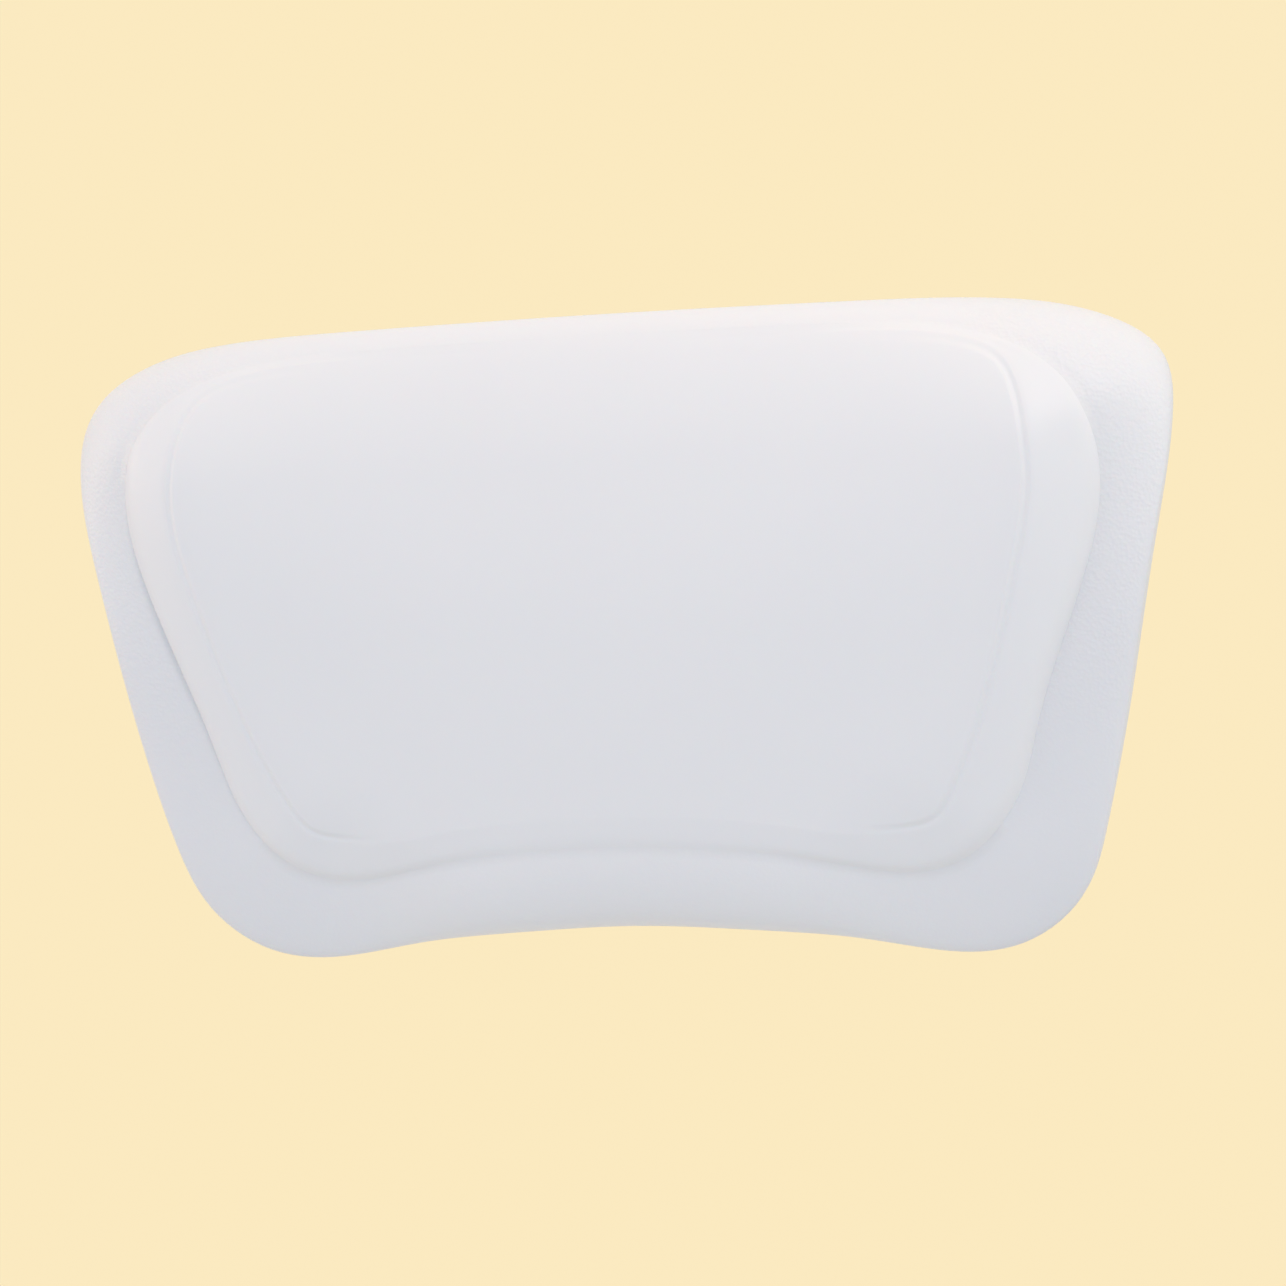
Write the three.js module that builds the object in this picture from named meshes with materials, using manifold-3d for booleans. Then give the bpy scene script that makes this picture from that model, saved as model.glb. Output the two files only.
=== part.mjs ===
// Bath pillow: a moulded, skinned foam headrest held to the end wall of a bath by suction cups.
// Units are millimetres, +Z is up and the face looks along -Y. The origin lies on the bath's wall, midway
// between the cups. A "depth" is a distance from that wall towards the bather, so y = -depth.
import * as THREE from "three";
import { mergeVertices } from "three/addons/utils/BufferGeometryUtils.js";
import Module from "manifold-3d";

const wasm = await Module();
wasm.setup();
const RUNNING_GAP = 0.3;

// Driving sizes of the moulding
const HALF_WIDTH = 168.5;
const HEIGHT = 192.6;
const BACK_DEPTH = 6;
const PARTING_DEPTH = 30;
const CREST_RISE = 24.5;
const SKIN_WALL = 2;

// The widest outline, at the mould's parting line, from the middle of the top edge down the right side to the
// middle of the bottom edge. Each row holds a share of HALF_WIDTH, a share of HEIGHT and how far the line
// stands forward of PARTING_DEPTH, as a share of CREST_RISE.
const OUTLINE_SHARES = [
  [0, 1, 0.042],
  [0.4556, 0.9969, -0.001],
  [0.7086, 0.9882, -0.155],
  [0.872, 0.9593, -0.3],
  [0.9767, 0.9007, -0.296],
  [1, 0.8087, 0.032],
  [0.9609, 0.6079, 0.298],
  [0.9097, 0.384, 0.268],
  [0.8556, 0.188, 0.15],
  [0.8085, 0.0883, 0.003],
  [0.7079, 0.0179, -0.105],
  [0.5822, 0, -0.208],
  [0.4046, 0.0225, -0.25],
  [0.202, 0.0386, -0.25],
  [0, 0.046, -0.25],
];
// The foot of the raised pad's edge. The third share is how far it lies behind the pad's own depth.
const FOOT_SHARES = [
  [0, 0.9671, 0],
  [0.4408, 0.9646, 0],
  [0.6335, 0.9513, 0.03],
  [0.7677, 0.9132, 0.2],
  [0.8486, 0.8487, 0.43],
  [0.8836, 0.7578, 0.49],
  [0.8531, 0.5876, 0.4],
  [0.7686, 0.3904, 0.28],
  [0.7182, 0.254, 0.23],
  [0.6666, 0.1896, 0.2],
  [0.5915, 0.144, 0.16],
  [0.4941, 0.133, 0.13],
  [0.3419, 0.1597, 0.1],
  [0.1766, 0.1777, 0.06],
  [0, 0.1843, 0.05],
];
// The fine groove that frames the dished head rest.
const GROOVE_SHARES = [
  [0, 0.945],
  [0.3822, 0.9445],
  [0.5599, 0.94],
  [0.6778, 0.9225],
  [0.7445, 0.876],
  [0.7702, 0.7738],
  [0.7476, 0.6126],
  [0.6762, 0.3994],
  [0.6194, 0.2816],
  [0.5809, 0.2267],
  [0.527, 0.2072],
  [0.4416, 0.2051],
  [0.3064, 0.2226],
  [0.1586, 0.2367],
  [0, 0.2402],
];
// Samples taken along each span between two rows of the tables above
const SPAN_STEPS = [2, 2, 2, 2, 2, 2, 1, 1, 2, 2, 2, 1, 1, 1];

// The pad: a roll from its edge, a taper towards the neck, a bow towards the top and a dish across its width
const ROLL_REACH = 45;
const ROLL_NECK_REACH = 32;
const ROLL_CORNER_REACH = 80;
const ROLL_LOW_HEIGHT = 40;
const ROLL_HIGH_HEIGHT = 90;
const NECK_HALF = 45;
const CORNER_HALF = 95;
const TAPER_HEIGHT = 148;
const TAPER_SHARE = 0.57;
const TAPER_POWER = 2;
const BOW_HEIGHT = 108;
const BOW_SHARE = 0.12;
const BOW_POWER = 2;
const DISH_FALL = 6.5;
const DISH_LOW_SHARE = 0.4;
const DISH_LOW_HEIGHT = 100;
const DISH_HIGH_HEIGHT = 190;
const DISH_HALF_TOP = 131;
const DISH_HALF_BOTTOM = 96;
const DISH_POWER = 3;
const DISH_CENTRE_HEIGHT = 108;

// The valley behind the pad's edge: the share of its fall that comes as a cove right beside the foot
const COVE_SHARE = 0.12;
const COVE_POWER = 4;

// The pad's raised lip, which dies away at the top corners and along the neck
const LIP_HEIGHT = 3;
const LIP_FULL_HEIGHT = 146;
const LIP_GONE_HEIGHT = 173;
const LIP_NECK_SHARE = 0.12;
const LIP_ROUNDNESS = 0.5;
const GROOVE_WIDTH = 1.8;
const GROOVE_FALL = 0.3;
const GROOVE_GONE_HEIGHT = 184;
const GROOVE_FULL_HEIGHT = 168;
const GROOVE_NECK_HALF = 74;
const GROOVE_CORNER_HALF = 92;

// Rings across the rim, as shares of the way to the foot, and across the lip, as shares of the way from the
// foot to the groove and of the lip's step made there
const SHOULDER_SHARES = [0.12, 0.4, 0.75];
const LIP_RING_SHARES = [
  [0.06, 0.8],
  [0.2, 1],
  [0.55, 1],
];
const DISH_RING_SHARES = [0.78, 0.5, 0.22];

// The rounded back edge, from the back face out to the outline, and the flat flange inside it
const FLANGE_WIDTH = 5;
const EDGE_RADIUS = 11;
const EDGE_ANGLE_SHARES = [0, 0.35, 0.7];

// Suction cups and their sockets. The margins are from the widest part of the pillow to the cups' middles.
const CUP_MARGIN_TOP = 70.5;
const CUP_MARGIN_BOTTOM = 96.5;
const CUP_HALF_RISE = 38;
const CUP_RADIUS = 25;
const CUP_LAND = 2.4;
const CUP_LIP_WALL = 1.2;
const CUP_HEIGHT = 10;
const CUP_HOLLOW = 6.5;
const CUP_SHOULDER_RADIUS = 8;
const CUP_SKIRT_RADIUS = 19.5;
const CUP_SKIRT_DEPTH = 4.8;
const CUP_WAIST_RADIUS = 14;
const CUP_WAIST_DEPTH = 7.8;
const NECK_RADIUS = 4;
const HEAD_RADIUS = 6.2;
const HEAD_TIP_RADIUS = 3.6;
const HEAD_LENGTH = 4;
const TAB_LENGTH = 9;
const TAB_WIDTH = 9;
const TAB_WALL = 1.4;
const TAB_LIFT = 0.4;
const TAB_RIB_RADIUS = 0.7;
const TAB_SEGMENTS = 8;
const CUP_SEGMENTS = 32;
const CUP_HOLLOW_STEPS = 4;

const SOCKET_FLANGE_RADIUS = 13;
const SOCKET_FLANGE_WALL = 1.6;
const SOCKET_THROAT_LENGTH = 3.1;
const SOCKET_BARREL_RADIUS = 8.5;
const SOCKET_BEAD_RADIUS = 9.4;
const SOCKET_BEAD_LENGTH = 1;
const SOCKET_TAIL_LENGTH = 2;
const SOCKET_SEGMENTS = 24;

const RECESS_RADIUS = 28.5;
const RECESS_SEGMENTS = 36;

// The moulded-in plate that carries the sockets
const PLATE_WALL = 2.5;
const PLATE_WIDTH_SHARE = 0.78;
const PLATE_HEIGHT_SHARE = 0.7;
const BOSS_RADIUS = 15;
const BOSS_WALL = 3;
const BOSS_HEIGHT = 6;
const RIB_WALL = 2.4;
const RIB_HEIGHT = 5;
const WINDOW_RADIUS = 9;
const WINDOW_SPACING = 46;
const WINDOW_COLUMNS = [-1, 0, 1];
const CUT_OVERRUN = 1;

// Depths that follow from the sizes above
const socketFace = CUP_HEIGHT + RUNNING_GAP;
const recessFloor = socketFace + SOCKET_FLANGE_WALL + RUNNING_GAP;
const panFront = recessFloor + SKIN_WALL;
const plateBack = panFront + RUNNING_GAP;
const plateFront = plateBack + PLATE_WALL;
const throatEnd = socketFace + SOCKET_THROAT_LENGTH;
const beadStart = plateFront + RUNNING_GAP;
const socketEnd = beadStart + SOCKET_BEAD_LENGTH + SOCKET_TAIL_LENGTH;
const middleHeight = HEIGHT / 2;
const holeRadius = SOCKET_BARREL_RADIUS + RUNNING_GAP;

const upperCup = HALF_WIDTH - CUP_MARGIN_TOP;
const lowerCup = HALF_WIDTH - CUP_MARGIN_BOTTOM;
const cupPlaces = {
  upper_left: new THREE.Vector2(-upperCup, CUP_HALF_RISE),
  upper_right: new THREE.Vector2(upperCup, CUP_HALF_RISE),
  lower_left: new THREE.Vector2(-lowerCup, -CUP_HALF_RISE),
  lower_right: new THREE.Vector2(lowerCup, -CUP_HALF_RISE),
};

const materials = {
  skin: new THREE.MeshStandardMaterial({ color: 0xe9e9ea, roughness: 0.55, metalness: 0 }),
  backing: new THREE.MeshStandardMaterial({ color: 0xdedfe1, roughness: 0.65, metalness: 0 }),
  foam: new THREE.MeshStandardMaterial({ color: 0xf3ecd2, roughness: 0.95, metalness: 0 }),
  plate: new THREE.MeshStandardMaterial({ color: 0xf2f2ee, roughness: 0.5, metalness: 0 }),
  socket: new THREE.MeshStandardMaterial({ color: 0xe4e6e8, roughness: 0.4, metalness: 0 }),
  cup: new THREE.MeshStandardMaterial({ color: 0xd6e2e6, roughness: 0.15, metalness: 0 }),
};

// Small helpers

function smoothStep(value, zeroAt, oneAt) {
  const t = THREE.MathUtils.clamp((value - zeroAt) / (oneAt - zeroAt), 0, 1);
  return t * t * (3 - 2 * t);
}

function solidOf(geometry) {
  const bare = geometry.clone();
  bare.deleteAttribute("normal");
  bare.deleteAttribute("uv");
  const merged = mergeVertices(bare);
  return new wasm.Manifold(
    new wasm.Mesh({
      numProp: 3,
      vertProperties: merged.attributes.position.array,
      triVerts: merged.index.array,
    }),
  );
}

function geometryOf(solid) {
  const mesh = solid.getMesh();
  const geometry = new THREE.BufferGeometry();
  geometry.setAttribute("position", new THREE.BufferAttribute(mesh.vertProperties, mesh.numProp));
  geometry.setIndex(new THREE.BufferAttribute(mesh.triVerts, 1));
  geometry.computeVertexNormals();
  return geometry;
}

// A disc or drum along the depth axis
function drum(radius, fromDepth, toDepth, segments, place = new THREE.Vector2()) {
  const geometry = new THREE.CylinderGeometry(radius, radius, toDepth - fromDepth, segments);
  geometry.translate(place.x, -(fromDepth + toDepth) / 2, place.y);
  return solidOf(geometry);
}

// A flat outline in the XZ plane, given thickness along the depth axis
function slab(outline, fromDepth, toDepth) {
  const geometry = new THREE.ExtrudeGeometry(new THREE.Shape(outline), {
    depth: toDepth - fromDepth,
    bevelEnabled: false,
  });
  geometry.rotateX(Math.PI / 2);
  geometry.translate(0, -fromDepth, 0);
  return solidOf(geometry);
}

// A straight rib between two places in the XZ plane
function rib(start, end, width, fromDepth, toDepth) {
  const along = new THREE.Vector2().subVectors(end, start);
  const middle = new THREE.Vector2().addVectors(start, end).multiplyScalar(0.5);
  const geometry = new THREE.BoxGeometry(along.length(), toDepth - fromDepth, width);
  geometry.rotateY(-along.angle());
  geometry.translate(middle.x, -(fromDepth + toDepth) / 2, middle.y);
  return solidOf(geometry);
}

// A revolved profile of [radius, depth] points, clockwise; it turns about the depth axis
function revolved(profile, segments) {
  const points = profile.map(([radius, depth]) => new THREE.Vector2(radius, -depth)).reverse();
  return solidOf(new THREE.LatheGeometry(points, segments));
}

// The closed lines of the moulding. Heights in this section are measured from the bottom lobes.

// A closed line through a table of shares; the left side mirrors the right
function lineThrough(shares) {
  const right = shares.map(
    ([across, up, share = 0]) =>
      new THREE.Vector3(across * HALF_WIDTH, share * CREST_RISE, up * HEIGHT),
  );
  const left = right.slice(1, -1).reverse();
  const mirrored = left.map((p) => new THREE.Vector3(-p.x, p.y, p.z));
  const curve = new THREE.CatmullRomCurve3([...right, ...mirrored], true, "centripetal");
  const steps = [...SPAN_STEPS, ...[...SPAN_STEPS].reverse()];
  const points = [];
  steps.forEach((count, span) => {
    for (let i = 0; i < count; i++) {
      points.push(curve.getPoint((span + i / count) / steps.length));
    }
  });
  return points;
}

// A closed line moved inwards in its own plane
function inset(line, distance) {
  return line.map((point, i) => {
    const before = line.at(i - 1);
    const after = line[(i + 1) % line.length];
    const along = new THREE.Vector3(after.x - before.x, 0, after.z - before.z).normalize();
    return new THREE.Vector3(point.x + distance * along.z, point.y, point.z - distance * along.x);
  });
}

// The same line at the depths that a function gives for its points
function atDepth(line, depthOf) {
  return line.map((point, i) => point.clone().setY(depthOf(point, i)));
}

const outline = atDepth(lineThrough(OUTLINE_SHARES), ({ y }) => PARTING_DEPTH + y);
const footLine = lineThrough(FOOT_SHARES);
const grooveLine = lineThrough(GROOVE_SHARES);

// How far a place lies inside the outline, seen square to the wall, and the outline's depth beside it
function fromEdge({ x, z }) {
  let nearest = { distance: Infinity, depth: 0 };
  outline.forEach((start, i) => {
    const end = outline[(i + 1) % outline.length];
    const span = new THREE.Vector2(end.x - start.x, end.z - start.z);
    const away = new THREE.Vector2(x - start.x, z - start.z);
    const along = THREE.MathUtils.clamp(away.dot(span) / span.lengthSq(), 0, 1);
    const distance = away.addScaledVector(span, -along).length();
    if (distance < nearest.distance) {
      nearest = { distance, depth: THREE.MathUtils.lerp(start.y, end.y, along) };
    }
  });
  return nearest;
}

// The pad's depth at a place: its roll from the edge, its taper towards the neck, its bow and its dish
function padDepth(place) {
  const { distance, depth } = fromEdge(place);
  const low = smoothStep(place.z, ROLL_HIGH_HEIGHT, ROLL_LOW_HEIGHT);
  const aside = smoothStep(Math.abs(place.x), NECK_HALF, CORNER_HALF);
  const lowReach = THREE.MathUtils.lerp(ROLL_NECK_REACH, ROLL_CORNER_REACH, aside);
  const reach = THREE.MathUtils.lerp(ROLL_REACH, lowReach, low);
  const roll = Math.sqrt(1 - (1 - Math.min(distance / reach, 1)) ** 2);
  const below = THREE.MathUtils.clamp(1 - place.z / TAPER_HEIGHT, 0, 1);
  const above = THREE.MathUtils.clamp((place.z - BOW_HEIGHT) / (HEIGHT - BOW_HEIGHT), 0, 1);
  const fallen = TAPER_SHARE * below ** TAPER_POWER + BOW_SHARE * above ** BOW_POWER;
  const crest = PARTING_DEPTH + CREST_RISE * (1 - fallen);
  const half = THREE.MathUtils.lerp(DISH_HALF_TOP, DISH_HALF_BOTTOM, below);
  const across = Math.min(Math.abs(place.x) / half, 1);
  const high = smoothStep(place.z, DISH_LOW_HEIGHT, DISH_HIGH_HEIGHT);
  const dish = DISH_FALL * THREE.MathUtils.lerp(DISH_LOW_SHARE, 1, high) * (1 - across ** DISH_POWER);
  return THREE.MathUtils.lerp(depth, crest - dish, roll);
}

function lipShare(point) {
  const below = smoothStep(point.z, LIP_GONE_HEIGHT, LIP_FULL_HEIGHT);
  const aside = smoothStep(Math.abs(point.x), NECK_HALF, CORNER_HALF);
  return below * THREE.MathUtils.lerp(LIP_NECK_SHARE, 1, aside);
}

function grooveShare(point) {
  const below = smoothStep(point.z, GROOVE_GONE_HEIGHT, GROOVE_FULL_HEIGHT);
  return below * smoothStep(Math.abs(point.x), GROOVE_NECK_HALF, GROOVE_CORNER_HALF);
}

const valley = footLine.map(({ y }) => y);
const foot = atDepth(footLine, (point, i) => padDepth(point) - valley[i]);
const padCentre = new THREE.Vector3(0, 0, DISH_CENTRE_HEIGHT);
padCentre.setY(padDepth(padCentre));

// Rings of the outer surface, from the back flange round the edge to the middle of the dish
function backEdgeRings() {
  const flange = atDepth(inset(outline, EDGE_RADIUS + FLANGE_WIDTH), () => BACK_DEPTH);
  const round = EDGE_ANGLE_SHARES.map((share) => {
    const angle = (share * Math.PI) / 2;
    const line = inset(outline, EDGE_RADIUS * (1 - Math.sin(angle)));
    return atDepth(line, ({ y }) => THREE.MathUtils.lerp(BACK_DEPTH, y, 1 - Math.cos(angle)));
  });
  return [flange, ...round];
}

// Rings from the outline over the rim and down its cove, short of the foot
function shoulderRings() {
  return SHOULDER_SHARES.map((share) => {
    const fall = THREE.MathUtils.lerp(Math.sqrt(share), share ** COVE_POWER, COVE_SHARE);
    const ring = outline.map((point, i) => point.clone().lerp(foot[i], share));
    return atDepth(ring, (point, i) => padDepth(point) - valley[i] * fall);
  });
}

function grooveRing(inward, fall) {
  const line = inset(grooveLine, inward);
  return atDepth(line, (point, i) => padDepth(point) - fall * grooveShare(grooveLine[i]));
}

function lipRings(groove) {
  return LIP_RING_SHARES.map(([across, step]) => {
    const swell = THREE.MathUtils.lerp(across, Math.sqrt(1 - (1 - across) ** 2), LIP_ROUNDNESS);
    const ring = foot.map((point, i) => point.clone().lerp(groove[i], across));
    return atDepth(ring, (point, i) => {
      const lip = LIP_HEIGHT * lipShare(foot[i]) * step;
      return padDepth(point) - (valley[i] - lip) * (1 - swell);
    });
  });
}

function dishRings(rim) {
  return DISH_RING_SHARES.map((share) => {
    const ring = rim.map((point) => padCentre.clone().lerp(point, share));
    return atDepth(ring, padDepth);
  });
}

const grooveOuter = grooveRing(0, 0);
const grooveFloor = grooveRing(GROOVE_WIDTH / 2, GROOVE_FALL);
const grooveInner = grooveRing(GROOVE_WIDTH, 0);
const edge = backEdgeRings();
const shoulder = shoulderRings();
const lip = lipRings(grooveOuter);
const dish = dishRings(grooveInner);

// Each ring of a surface moved in by a wall, square to the surface
function movedIn(rings, pole, wall) {
  const down = (ring, i) => {
    const next = rings[ring + 1]?.[i] ?? pole;
    const last = rings[Math.max(ring - 1, 0)][i];
    return new THREE.Vector3().subVectors(next, last);
  };
  return rings.map((points, ring) =>
    points.map((point, i) => {
      const along = new THREE.Vector3().subVectors(points[(i + 1) % points.length], points.at(i - 1));
      const inward = new THREE.Vector3().crossVectors(down(ring, i), along).normalize();
      return point.clone().addScaledVector(inward, wall);
    }),
  );
}

// Triangles between rings of one count, closed by a pole at either end that has one
function skinned(rings, firstPole, lastPole) {
  const count = rings[0].length;
  const places = [...rings.flat()];
  const faces = [];
  const at = (ring, i) => ring * count + (i % count);
  for (let ring = 0; ring < rings.length - 1; ring++) {
    for (let i = 0; i < count; i++) {
      faces.push(at(ring, i), at(ring + 1, i), at(ring, i + 1));
      faces.push(at(ring + 1, i), at(ring + 1, i + 1), at(ring, i + 1));
    }
  }
  const fan = (pole, ring, isFirst) => {
    const centre = places.push(pole) - 1;
    for (let i = 0; i < count; i++) {
      const pair = isFirst ? [at(ring, i), at(ring, i + 1)] : [at(ring, i + 1), at(ring, i)];
      faces.push(...pair, centre);
    }
  };
  if (firstPole) fan(firstPole, 0, true);
  if (lastPole) fan(lastPole, rings.length - 1, false);
  return { places, faces };
}

// A geometry in the part's frame from points that hold depths and heights
function geometryFrom({ places, faces }) {
  const flat = places.flatMap((p) => [p.x, -p.y, p.z - middleHeight]);
  const geometry = new THREE.BufferGeometry();
  geometry.setAttribute("position", new THREE.Float32BufferAttribute(flat, 3));
  geometry.setIndex(faces);
  geometry.computeVertexNormals();
  return geometry;
}

// The pieces of the pillow

// The lines that the inside of the skin follows; it ignores the fine lip and groove
function innerRings(wall) {
  const lines = [edge[0], edge[1], edge[3], outline, shoulder[1], foot, grooveOuter, dish[0], dish[2]];
  return movedIn(lines, padCentre, wall);
}

function poleInside(wall) {
  return padCentre.clone().setY(padCentre.y - wall);
}

function faceSkin() {
  const groove = [grooveOuter, grooveFloor, grooveInner];
  const rings = [...edge, outline, ...shoulder, foot, ...lip, ...groove, ...dish];
  const outer = skinned(rings, null, padCentre);
  const inside = innerRings(SKIN_WALL);
  const lining = skinned(inside, null, poleInside(SKIN_WALL));
  const shift = outer.places.length;
  const places = [...outer.places, ...lining.places];
  const faces = [...outer.faces];
  for (let i = 0; i < lining.faces.length; i += 3) {
    const [a, b, c] = lining.faces.slice(i, i + 3);
    faces.push(a + shift, c + shift, b + shift);
  }
  const count = outline.length;
  for (let i = 0; i < count; i++) {
    const next = (i + 1) % count;
    faces.push(i, next, next + shift, i, next + shift, i + shift);
  }
  return geometryFrom({ places, faces });
}

// The foam as it is poured, before the pockets for what it holds
function foamBlank() {
  const rings = innerRings(SKIN_WALL + RUNNING_GAP).slice(1);
  const back = BACK_DEPTH + SKIN_WALL + RUNNING_GAP;
  rings[0].forEach((point) => point.setY(back));
  const backCentre = new THREE.Vector3(0, back, middleHeight);
  const shape = skinned(rings, backCentre, poleInside(SKIN_WALL + RUNNING_GAP));
  return solidOf(geometryFrom(shape));
}

function flatOutline(line) {
  return line.map((point) => new THREE.Vector2(point.x, point.z - middleHeight));
}

function insertPlate(grow = 0) {
  const scaled = outline.map(
    (p) =>
      new THREE.Vector3(
        p.x * PLATE_WIDTH_SHARE,
        p.y,
        middleHeight + (p.z - middleHeight) * PLATE_HEIGHT_SHARE,
      ),
  );
  const back = plateBack - grow;
  const front = plateFront + grow;
  let plate = slab(flatOutline(inset(scaled, -grow)), back, front);
  const { upper_left, upper_right, lower_left, lower_right } = cupPlaces;
  const spans = [
    [upper_left, upper_right],
    [lower_left, lower_right],
    [upper_left, lower_left],
    [upper_right, lower_right],
  ];
  for (const [start, end] of spans) {
    plate = plate.add(rib(start, end, RIB_WALL + 2 * grow, back, plateFront + RIB_HEIGHT + grow));
  }
  for (const place of Object.values(cupPlaces)) {
    plate = plate.add(
      drum(BOSS_RADIUS + grow, back, plateFront + BOSS_HEIGHT + grow, SOCKET_SEGMENTS, place),
    );
  }
  for (const place of Object.values(cupPlaces)) {
    const bore = BOSS_RADIUS - BOSS_WALL;
    const top = plateFront + BOSS_HEIGHT + CUT_OVERRUN + grow;
    plate = plate.subtract(drum(bore - grow, front, top, SOCKET_SEGMENTS, place));
    plate = plate.subtract(drum(holeRadius, back - CUT_OVERRUN, top, SOCKET_SEGMENTS, place));
  }
  for (const column of WINDOW_COLUMNS) {
    const place = new THREE.Vector2(column * WINDOW_SPACING, 0);
    const radius = WINDOW_RADIUS - grow;
    const window = drum(radius, back - CUT_OVERRUN, front + CUT_OVERRUN, SOCKET_SEGMENTS, place);
    plate = plate.subtract(window);
  }
  return plate;
}

function foamCore() {
  let foam = foamBlank().subtract(insertPlate(RUNNING_GAP));
  for (const place of Object.values(cupPlaces)) {
    const pan = RECESS_RADIUS + SKIN_WALL + RUNNING_GAP;
    const tail = SOCKET_BEAD_RADIUS + RUNNING_GAP;
    const boss = BOSS_RADIUS - BOSS_WALL - RUNNING_GAP;
    const bossTop = plateFront + BOSS_HEIGHT + RUNNING_GAP;
    foam = foam.subtract(drum(pan, 0, plateBack, RECESS_SEGMENTS, place));
    foam = foam.subtract(drum(boss, plateBack, bossTop, SOCKET_SEGMENTS, place));
    foam = foam.subtract(drum(tail, plateBack, socketEnd + RUNNING_GAP, SOCKET_SEGMENTS, place));
  }
  return geometryOf(foam);
}

function backSkin() {
  const seam = EDGE_RADIUS + FLANGE_WIDTH + RUNNING_GAP;
  let skin = slab(flatOutline(inset(outline, seam)), BACK_DEPTH, BACK_DEPTH + SKIN_WALL);
  for (const place of Object.values(cupPlaces)) {
    skin = skin.add(drum(RECESS_RADIUS + SKIN_WALL, BACK_DEPTH, panFront, RECESS_SEGMENTS, place));
  }
  for (const place of Object.values(cupPlaces)) {
    skin = skin.subtract(drum(RECESS_RADIUS, 0, recessFloor, RECESS_SEGMENTS, place));
    skin = skin.subtract(drum(holeRadius, 0, panFront + CUT_OVERRUN, SOCKET_SEGMENTS, place));
  }
  return geometryOf(skin);
}

function socket() {
  const throat = NECK_RADIUS + RUNNING_GAP;
  const chamber = HEAD_RADIUS + RUNNING_GAP;
  const flangeEnd = socketFace + SOCKET_FLANGE_WALL;
  const beadEnd = beadStart + SOCKET_BEAD_LENGTH;
  const profile = [
    [throat, socketFace],
    [SOCKET_FLANGE_RADIUS, socketFace],
    [SOCKET_FLANGE_RADIUS, flangeEnd],
    [SOCKET_BARREL_RADIUS, flangeEnd],
    [SOCKET_BARREL_RADIUS, beadStart],
    [SOCKET_BEAD_RADIUS, beadStart],
    [SOCKET_BEAD_RADIUS, beadEnd],
    [SOCKET_BARREL_RADIUS, socketEnd],
    [chamber, socketEnd],
    [chamber, throatEnd],
    [throat, throatEnd],
    [throat, socketFace],
  ];
  return geometryOf(revolved(profile, SOCKET_SEGMENTS));
}

// The suction cup, with its rim on the wall, its hollow open to it and its mushroom head in the socket
function suctionCup() {
  const landStart = CUP_RADIUS - CUP_LAND;
  const headStart = throatEnd + RUNNING_GAP;
  const hollow = [];
  for (let i = 0; i <= CUP_HOLLOW_STEPS; i++) {
    const angle = (i / CUP_HOLLOW_STEPS) * (Math.PI / 2);
    hollow.push([landStart * Math.sin(angle), CUP_HOLLOW * Math.cos(angle)]);
  }
  const profile = [
    ...hollow,
    [CUP_RADIUS, 0],
    [CUP_RADIUS, CUP_LIP_WALL],
    [CUP_SKIRT_RADIUS, CUP_SKIRT_DEPTH],
    [CUP_WAIST_RADIUS, CUP_WAIST_DEPTH],
    [CUP_SHOULDER_RADIUS, CUP_HEIGHT],
    [NECK_RADIUS, CUP_HEIGHT],
    [NECK_RADIUS, headStart],
    [HEAD_RADIUS, headStart],
    [HEAD_RADIUS, headStart + HEAD_LENGTH / 2],
    [HEAD_TIP_RADIUS, headStart + HEAD_LENGTH],
    [0, headStart + HEAD_LENGTH],
  ];
  const bell = revolved(profile, CUP_SEGMENTS);
  return geometryOf(bell.add(pullTab()));
}

// The tab that peels the cup off the wall, hanging below the rim, with a rib across its end for grip
function pullTab() {
  const end = CUP_RADIUS + TAB_LENGTH;
  const half = TAB_WIDTH / 2;
  const shape = new THREE.Shape();
  shape.moveTo(-half, -(CUP_RADIUS - CUP_LAND));
  shape.lineTo(-half, -(end - half));
  shape.absarc(0, -(end - half), half, Math.PI, 2 * Math.PI, false);
  shape.lineTo(half, -(CUP_RADIUS - CUP_LAND));
  const tab = slab(shape.getPoints(TAB_SEGMENTS), TAB_LIFT, TAB_LIFT + TAB_WALL);
  const width = TAB_WIDTH - TAB_WALL;
  const grip = new THREE.CylinderGeometry(TAB_RIB_RADIUS, TAB_RIB_RADIUS, width, TAB_SEGMENTS);
  grip.rotateZ(Math.PI / 2);
  grip.translate(0, -(TAB_LIFT + TAB_WALL), -(end - half));
  return tab.add(solidOf(grip));
}

// The assembly

function piece(name, geometry, material) {
  const mesh = new THREE.Mesh(geometry, material);
  mesh.name = name;
  return mesh;
}

const pillow = new THREE.Group();
pillow.up.set(0, 0, 1);
pillow.add(piece("face_skin", faceSkin(), materials.skin));
pillow.add(piece("foam_core", foamCore(), materials.foam));
pillow.add(piece("insert_plate", geometryOf(insertPlate()), materials.plate));
pillow.add(piece("back_skin", backSkin(), materials.backing));
for (const [corner, place] of Object.entries(cupPlaces)) {
  const fitting = new THREE.Group();
  fitting.position.set(place.x, 0, place.y);
  fitting.add(piece(`socket_${corner}`, socket(), materials.socket));
  fitting.add(piece(`suction_cup_${corner}`, suctionCup(), materials.cup));
  pillow.add(fitting);
}

export default pillow;
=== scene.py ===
"""The looks of a moulded bath pillow: its skin, back, sockets and suction cups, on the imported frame."""
import math

import bmesh
import bpy
import numpy as np
from mathutils import Matrix, Vector
from mathutils.geometry import delaunay_2d_cdt


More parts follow.
